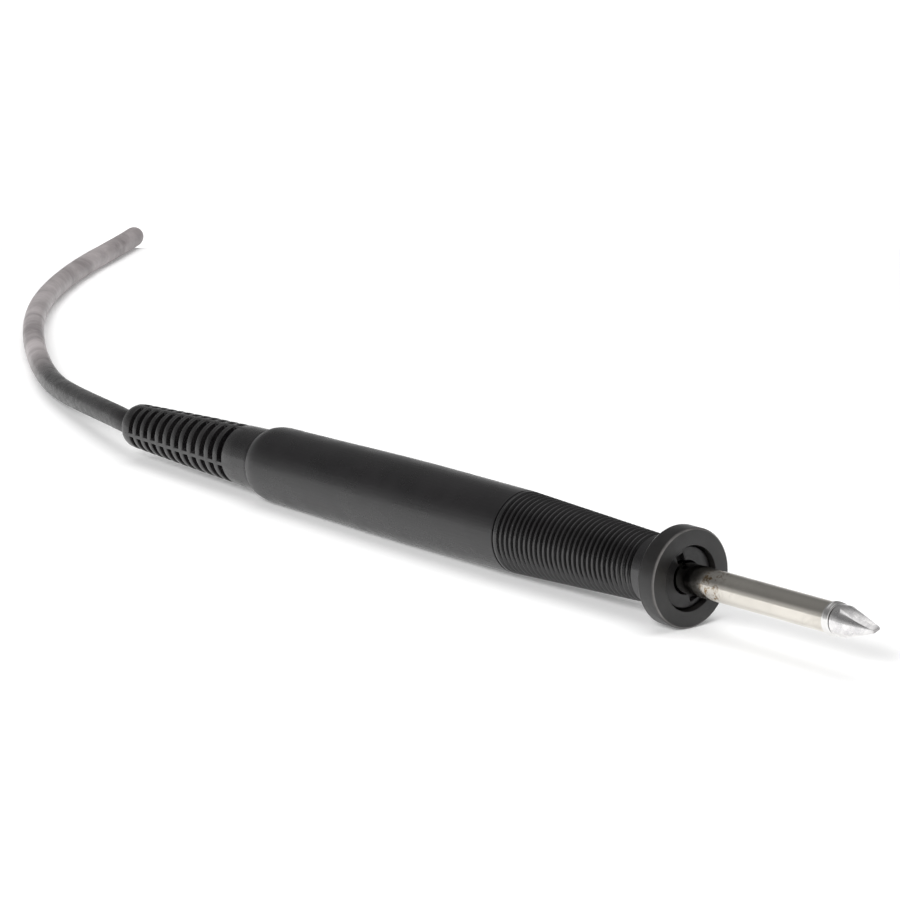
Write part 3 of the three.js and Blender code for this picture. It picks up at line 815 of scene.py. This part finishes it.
def tip(look):
    outline = rounded(
        [
            (41.2, 0, 0),
            (40.6, 1.75, 0.2),
            (20, 1.75, 0.1),
            (20, 2.55, 0.1),
            (43.4, 2.55, 0),
            (43.4, TIP_RADIUS, 0.12),
            (CONE_START, TIP_RADIUS, 0.5),
            (TIP_END - 0.12, 0.84, 0.12),
            (TIP_END, 0, 0),
        ]
    )
    bm = bmesh.new()
    lathe(bm, outline, 96)
    piece = add("chisel_tip", bm)
    roll = Matrix.Rotation(BLADE_ROLL, 4, "X")
    lean = Matrix.Translation((TIP_END * MM, 0, BLADE_HALF * MM)) @ Matrix.Rotation(BLADE_SLOPE, 4, "Y")
    cutter = bmesh.new()
    for side in (0, math.pi):
        box(cutter, (-12, -6, 0), (12, 6, 8), roll @ Matrix.Rotation(side, 4, "X") @ lean)
    cut(piece, cutter)
    bevel(piece, 0.16, 3, 22)
    # marks the bevels along the flats' edges, which the tip material darkens as painted shade
    edge_shade = piece.data.attributes.new("edge", "FLOAT", "POINT")
    into_pen = PEN.inverted()
    for vert, value in zip(piece.data.vertices, edge_shade.data):
        x, y, z = into_pen @ vert.co / MM
        across = abs(z * math.cos(BLADE_ROLL) - y * math.sin(BLADE_ROLL))
        from_flat = (across - BLADE_HALF) * math.cos(BLADE_SLOPE) - (TIP_END - x) * math.sin(BLADE_SLOPE)
        from_cone = math.hypot(y, z) - TIP_RADIUS + max(0.0, x - CONE_START) * CONE_FALL
        in_bevel = from_flat < -0.02 and from_cone < -0.06
        value.value = 1.0 if in_bevel and x > CONE_START - 1.4 else 0.0
    return finish_piece(piece, look, "tip_plate", "tip", "tip", angle=28)


def nut(look):
    outline = [
        (-4.4, 3.55, 0.1),
        (-4.4, 5.3, 0.1),
        (-3.3, 5.3, 0.1),
        (-3.3, 6.5, 0.15),
        (-1.3, 6.5, 0.3),
        (-1.3, 3.55, 0.15),
    ]
    bm = bmesh.new()
    lathe(bm, rounded(outline), 96)
    piece = add("nut", bm)
    slots = bmesh.new()
    for turn in (22, 202):
        box(slots, (-2.5, -1, 3), (-0.8, 1, 5.4), Matrix.Rotation(math.radians(turn), 4, "X"))
    cut(piece, slots)
    bevel(piece, 0.1, 2, 50)
    return finish_piece(piece, look, "nut_plastic", "nut", "retaining_nut")


# ------------------------------------------------------------------ handle
def guard(look):
    outline = [
        (0, 6.85, 0.18),
        (0, 10.12, 0.12),
        (-0.36, 10.5, 0.12),
        (-4.2, 10.5, 0.12),
        (-4.8, 10.15, 0.12),
        (-5.1, 8.9, 0.6),
        (-5.5, 7.8, 0.6),
        (-6.2, 7.1, 0.5),
        (-6.8, 6.95, 0.15),
        (-7.4, 7.0, 0.15),
        (-7.5, 4.4, 0),
        (-24, 4.4, 0),
        (-24, 3.6, 0),
        (-6.4, 3.6, 0.1),
        (-6.4, 5.6, 0.1),
        (-3.6, 5.6, 0.1),
        (-3.6, 6.85, 0.1),
    ]
    return turned("guard", rounded(outline), 160, look, "guard_plastic", "handle", "nose_flange")


GROOVES = 28
FIRST_GROOVE = GRIP_REAR + 1.4
GROOVE_PITCH = 1.464
GROOVE_DEPTH = 1.3
GROOVE_SHARE = 0.72
GRIP_INNER = 6.0
THINNEST_GRIP = 0.25
GRIP_REAR_RADIUS = 8.88
GRIP_FRONT_RADIUS = 7.11
GRIP_EDGE = 0.25  # length of the rounding at the rear
GRIP_EDGE_DROP = 0.3
SAMPLES = 16


def grip_radius(x):
    taper = GRIP_FRONT_RADIUS - GRIP_REAR_RADIUS
    return GRIP_REAR_RADIUS + taper * (x - GRIP_REAR) / (GRIP_FRONT - GRIP_REAR)


def groove_depth(x):
    """How deep the surface lies under the crests: sharp grooves between narrow rounded ribs."""
    phase = (x - FIRST_GROOVE) / GROOVE_PITCH
    if phase < -0.5 or phase > GROOVES - 0.5:
        return 0.0
    away = abs(phase - round(phase))
    wall = GROOVE_SHARE / 2
    if away < wall:
        return 1 - 0.8 * away / wall
    rib = (away - wall) / (0.5 - wall)
    return 0.2 * (1 - math.sqrt(1 - (1 - rib) ** 2))


def grip(look):
    steps = round((GRIP_FRONT - GRIP_REAR) / GROOVE_PITCH * SAMPLES)
    outline = [(GRIP_REAR, GRIP_INNER), (GRIP_REAR, GRIP_REAR_RADIUS - GRIP_EDGE_DROP)]
    shade_depths = {}
    for i in range(1, steps):
        x = GRIP_REAR + (GRIP_FRONT - GRIP_REAR) * i / steps
        depth = groove_depth(x)
        crest = grip_radius(x)
        r = crest - min(GROOVE_DEPTH, crest - GRIP_INNER - THINNEST_GRIP) * depth
        to_rear = (GRIP_REAR + GRIP_EDGE - x) / GRIP_EDGE
        if to_rear > 0:
            r -= GRIP_EDGE_DROP * (1 - math.sqrt(max(0.0, 1 - to_rear**2)))
        outline.append((x, r))
        shade_depths[round(x, 4)] = depth
    outline += [(GRIP_FRONT, GRIP_FRONT_RADIUS - 0.15), (GRIP_FRONT, GRIP_INNER)]
    bm = bmesh.new()
    lathe(bm, outline, 112)
    # the groove depth is kept on the mesh for the painted shade in the grooves
    layer = bm.verts.layers.float.new("groove_shade")
    for vert in bm.verts:
        vert[layer] = shade_depths.get(round(vert.co.x / MM, 4), 0.0)
    return finish_piece(add("grip", bm), look, "grip_rubber", "handle", "grip_sleeve", angle=70)


def handle(look):
    outer = [
        (-137.6, 8.05),
        (-136.6, 8.3),
        (-134.8, 8.5),
        (-128, 8.57),
        (-118, 8.68),
        (-106, 8.86),
        (-96, 8.98),
        (-86, 9.04),
        (-74, 9.0),
        (-62, 8.93),
        (-52.7, 8.88),
    ]
    curve = [(p.x, p.y) for p in spline([(x, r, 0) for x, r in outer], 6)]
    rear = [(HANDLE_REAR, 6.5, 0), (HANDLE_REAR, 7.3, 0.1), (-138.6, 7.6, 0.15), (-137.6, 8.05, 0)]
    rear = rounded(rear, 5)
    front = [(-52.7, 8.88, 0), (-52.2, 8.88, 0.15), (-52.2, 5.7, 0.1), (-8.2, 5.7, 0.1), (-8.2, 4.7, 0)]
    front = rounded(front)
    inside = [(-53, 4.7), (-57.5, 6.9), (-128, 6.9), (-129, 6.5)]
    outline = rear[:-1] + curve[:-1] + front + inside
    return turned("handle", outline, 160, look, "handle_plastic", "handle", "handle_shell")


SLOT_ROWS = 12
FIRST_SLOT = RELIEF_REAR + 3.3
SLOT_PITCH = (2.97, 3.5)  # at the rear and at the front
SLOT_SHARE = 0.54
WEBS = 4
WEB_WIDTH = 1.0
WEB_ROLL = math.radians(10)
WINDOW_CELLS = 14
RELIEF_OUTSIDE = [
    (RELIEF_REAR, 4.5),
    (-188.85, 4.85),
    (-188.3, 5.05),
    (-187.4, 5.16),
    (-180, 5.5),
    (-171, 5.9),
    (-162, 6.3),
    (-153, 6.58),
    (-145, 6.9),
    (-139.3, 7.05),
]


def relief_radius(x):
    for (x0, r0), (x1, r1) in zip(RELIEF_OUTSIDE, RELIEF_OUTSIDE[1:]):
        if x <= x1:
            return r0 + (r1 - r0) * (x - x0) / (x1 - x0)
    return RELIEF_OUTSIDE[-1][1]


def relief_stations():
    """The places along the strain relief with a row of cells between each two, open or not."""
    stations = [(x, False) for x, _ in RELIEF_OUTSIDE[:4]]
    x = FIRST_SLOT
    for i in range(SLOT_ROWS):
        pitch = SLOT_PITCH[0] + (SLOT_PITCH[1] - SLOT_PITCH[0]) * i / (SLOT_ROWS - 1)
        stations += [(x, True), (x + SLOT_SHARE * pitch, False)]
        x += pitch
    return stations + [(-144.5, False), (-140.4, False), (-139.3, False)]


def relief(look):
    """A sleeve on a grid of cells, with rows of windows that leave narrow webs between them."""
    stations = relief_stations()
    columns = WEBS * (WINDOW_CELLS + 1)

    def angle_of(column, radius):
        quarter, cell = divmod(column, WINDOW_CELLS + 1)
        middle = WEB_ROLL + quarter * math.pi / 2
        half_web = WEB_WIDTH / 2 / radius
        if cell == 0:
            return middle - half_web
        span = math.pi / 2 - 2 * half_web
        return middle + half_web + span * (cell - 1) / WINDOW_CELLS

    def is_solid(row, column):
        return not stations[row][1] or column % (WINDOW_CELLS + 1) == 0

    bm = bmesh.new()
    shells = []
    for outside in (True, False):
        grid = []
        for x, _ in stations:
            r = relief_radius(x)
            radius = r if outside else CORD_BORE
            ring = []
            for column in range(columns):
                a = angle_of(column, r)
                ring.append(bm.verts.new(Vector((x, radius * math.cos(a), radius * math.sin(a))) * MM))
            grid.append(ring)
        shells.append(grid)
    rows = len(stations) - 1
    outer, inner = shells
    for row in range(rows):
        for column in range(columns):
            if not is_solid(row, column):
                continue
            after = (column + 1) % columns
            for low, high in zip((outer[row], inner[row]), (outer[row + 1], inner[row + 1])):
                bm.faces.new((low[column], low[after], high[after], high[column]))
            for edge in (column, after):
                beside = column - 1 if edge == column else after
                if not is_solid(row, beside % columns):
                    rear = [grid[row][edge] for grid in shells]
                    front = [grid[row + 1][edge] for grid in shells]
                    bm.faces.new((rear[0], front[0], front[1], rear[1]))
            for level, next_row in ((row, row - 1), (row + 1, row + 1)):
                if not 0 <= next_row < rows or not is_solid(next_row, column):
                    over, under = outer[level], inner[level]
                    bm.faces.new((over[column], over[after], under[after], under[column]))
    loose = [v for v in bm.verts if not v.link_faces]
    bmesh.ops.delete(bm, geom=loose, context="VERTS")
    piece = add("strain_relief_boot", bm)
    bevel(piece, 0.42, 3, 40)
    return finish_piece(piece, look, "relief_rubber", "handle", "strain_relief")


# ------------------------------------------------------------------ plug
BOOT_RIBS = 6
PIN_CIRCLE = 3.6
PINS = 5


def flutes(count, depth, low, high, least):
    """A swell for lathe() that cuts round flutes between two places, where the radius is large."""

    def swell(x, r, a):
        if not low < x < high or r < least:
            return r
        return r - depth * (0.5 + 0.5 * math.cos(count * a)) ** 3

    return swell


def dense(outline, low, high, radius, steps):
    """Adds points along the part of an outline that carries flutes."""
    return outline + [(low + (high - low) * i / steps, radius) for i in range(steps + 1)]


def plug_part(name, outline, sides, body, node, look, slot="connector_metal", swell=None):
    return turned(name, outline, sides, look, slot, body, node, at=PLUG, swell=swell)


def plug_pieces(looks):
    nickel = looks["connector_metal"]
    boot = [(0, CORD_BORE, 0.1), (0, 3.7, 0.5)]
    for i in range(BOOT_RIBS):
        x = 2.2 + i * 2
        r = 3.7 + 1.3 * x / 15
        boot += [(x, r, 0.15), (x + 0.1, r - 0.45, 0.15)]
        boot += [(x + 0.8, r - 0.42, 0.15), (x + 0.9, r + 0.08, 0.15)]
    boot += [(15, 4.98, 0.3), (21, 5, 0.1), (21, CORD_BORE, 0)]
    rubber = looks["relief_rubber"]
    made = [plug_part("plug_boot", rounded(boot), 64, "handle", "conn_boot", rubber, "relief_rubber")]
    back = [(15.6, 5.3), (15.6, 6.2), (15.8, 6.5), (17, 7.36)]
    back = dense(back, 17.4, 26.4, 7.4, 8) + [(27.0, 7.36), (27.4, 7.1), (27.4, 5.3)]
    knurl = flutes(24, 0.35, 17.2, 26.8, 7.3)
    made.append(plug_part("plug_back_nut", back, 144, "handle", "conn_back_nut", nickel, swell=knurl))
    shell = [
        (27.7, 4, 0),
        (27.7, 7.4, 0.2),
        (29.5, 7.6, 0.1),
        (29.5, 9.9, 0.3),
        (33, 9.9, 0.4),
        (34, 8, 0.2),
        (52, 8, 0.3),
        (52, 6.9, 0.15),
        (40, 6.9, 0.1),
        (40, 5.2, 0),
        (30, 5.2, 0),
        (30, 4, 0),
    ]
    made.append(plug_part("plug_shell", rounded(shell), 112, "handle", "conn_shell", nickel))
    ring = [(34.5, 8.3), (34.5, 8.85), (34.7, 9.05), (35.4, 9.42)]
    ring = dense(ring, 36, 46.4, 9.5, 8) + [(47.1, 9.42), (47.8, 9.15), (48, 8.9), (48, 8.3)]
    knurl = flutes(32, 0.32, 35.6, 46.8, 9.4)
    made.append(plug_part("plug_ring", ring, 192, "coupling_ring", "conn_ring", nickel, swell=knurl))
    turns = [math.pi / 2 + i * math.pi / 3 for i in range(PINS)]
    pins = [(PIN_CIRCLE * math.cos(a), PIN_CIRCLE * math.sin(a)) for a in turns]
    bm = bmesh.new()
    disc = [(40.3, 0, 0), (40.3, 6.55, 0.2), (45, 6.55, 0.3)]
    disc += [(45, 5.6, 0.15), (44.6, 5.4, 0.15), (44.6, 0, 0)]
    lathe(bm, rounded(disc), 96)
    insert = add("plug_insert", bm, PLUG)
    holes = bmesh.new()
    for y, z in pins:
        hole = bmesh.new()
        lathe(hole, [(38, 0), (38, 1.1), (47, 1.1), (47, 0)], 32)
        bmesh.ops.translate(hole, vec=(0, y * MM, z * MM), verts=hole.verts)
        mesh = mesh_of(hole, "hole")
        holes.from_mesh(mesh)
        bpy.data.meshes.remove(mesh)
    cut(insert, holes, PLUG)
    made.append(finish_piece(insert, looks["insert_plastic"], "insert_plastic", "handle", "conn_insert"))
    pin = rounded([(38.5, 0, 0), (38.5, 0.8, 0.1), (50.0, 0.8, 0.3), (50.6, 0.35, 0.3), (50.6, 0, 0)])
    for i, (y, z) in enumerate(pins, 1):
        bm = bmesh.new()
        lathe(bm, pin, 32)
        bmesh.ops.translate(bm, vec=(0, y * MM, z * MM), verts=bm.verts)
        piece = add(f"plug_pin_{i}", bm, PLUG)
        made.append(finish_piece(piece, looks["contact_brass"], "contact_brass", "handle", f"conn_pin_{i}"))
    return made


# ------------------------------------------------------------------ floor and light
# how bright the surroundings are, as (height from 0 to 1, level)
SKY_LEVELS = [(0.0, 0.66), (0.14, 0.5), (0.46, 0.2), (0.84, 0.24), (0.92, 1.0)]
SEEN_STRENGTH = 1.2  # of the plain white behind the object
LAMPS = {  # place, size and power
    "overhead": ((-0.12, 0.12, 1.5), (1.6, 1.3), 9),
    "front": ((0.65, -1.13, 0.75), (0.45, 0.35), 17),
}
FLOOR_HALF = 6.0
FLOOR_GLOW = 0.2


def studio():
    scene = bpy.context.scene
    scene.view_settings.view_transform = "Standard"
    world = bpy.data.worlds.new("studio")
    scene.world = world
    world.use_nodes = True
    nodes, links = world.node_tree.nodes, world.node_tree.links
    nodes.clear()
    seen = nodes.new("ShaderNodeBackground")
    seen.inputs["Color"].default_value = (1, 1, 1, 1)
    seen.inputs["Strength"].default_value = SEEN_STRENGTH
    soft = nodes.new("ShaderNodeBackground")
    where = nodes.new("ShaderNodeTexCoord")
    split = nodes.new("ShaderNodeSeparateXYZ")
    links.new(where.outputs["Generated"], split.inputs[0])
    ramp = nodes.new("ShaderNodeValToRGB")
    ramp.color_ramp.interpolation = "EASE"
    while len(ramp.color_ramp.elements) < len(SKY_LEVELS):
        ramp.color_ramp.elements.new(0.5)
    for element, (place, level) in zip(ramp.color_ramp.elements, SKY_LEVELS):
        element.position = place
        element.color = (level, level, level, 1)
    links.new(split.outputs["Z"], ramp.inputs["Fac"])
    links.new(ramp.outputs["Color"], soft.inputs["Color"])
    soft.inputs["Strength"].default_value = 1.0
    ray = nodes.new("ShaderNodeLightPath")
    choose = nodes.new("ShaderNodeMixShader")
    links.new(ray.outputs["Is Camera Ray"], choose.inputs["Fac"])
    links.new(soft.outputs[0], choose.inputs[1])
    links.new(seen.outputs[0], choose.inputs[2])
    out = nodes.new("ShaderNodeOutputWorld")
    links.new(choose.outputs[0], out.inputs["Surface"])

    for name, (place, size, power) in LAMPS.items():
        light = bpy.data.lights.new(name, "AREA")
        light.shape = "RECTANGLE"
        light.size, light.size_y = size
        light.energy = power
        lamp = bpy.data.objects.new(name, light)
        lamp.location = place
        lamp.rotation_euler = (-lamp.location).to_track_quat("-Z", "Y").to_euler()
        lamp.visible_glossy = False
        scene.collection.objects.link(lamp)


def floor():
    bm = bmesh.new()
    signs = ((-1, -1), (1, -1), (1, 1), (-1, 1))
    bm.faces.new([bm.verts.new((x * FLOOR_HALF, y * FLOOR_HALF, 0)) for x, y in signs])
    mesh = bpy.data.meshes.new("floor")
    bm.to_mesh(mesh)
    bm.free()
    piece = bpy.data.objects.new("floor", mesh)
    bpy.context.scene.collection.objects.link(piece)
    look = Look("floor_paper", specular=0.0)
    tone = look.mix(look.noise(3, 2), (0.86, 0.86, 0.862), (0.88, 0.88, 0.878))
    look.put((1, 1, 1, 1), look.shader.inputs["Emission Color"])
    look.put(FLOOR_GLOW, look.shader.inputs["Emission Strength"])
    piece.data.materials.append(look.finish(tone, 1.0))


# ------------------------------------------------------------------ build
make_camera()
LOOKS = make_looks()
lead_piece, lead_path = cord_tube(LOOKS["cord_rubber"])
on_lead = []
for number, angle in enumerate(TIE_ANGLES, 1):
    on_lead += cord_tie(number, angle, LOOKS["tie_nylon"])
on_lead += plug_pieces(LOOKS)
barrel(LOOKS["polished_steel"])
tip(LOOKS["tip_plate"])
nut(LOOKS["nut_plastic"])
guard(LOOKS["guard_plastic"])
grip(LOOKS["grip_rubber"])
handle(LOOKS["handle_plastic"])
relief(LOOKS["relief_rubber"])

SLOTS = {s["node"]: s["material_slot"] for s in frame["record"]["subparts"]}
for name, node in frame["nodes"].items():
    for holder in node.material_slots:
        holder.material = LOOKS[SLOTS[name]]
studio()
floor()
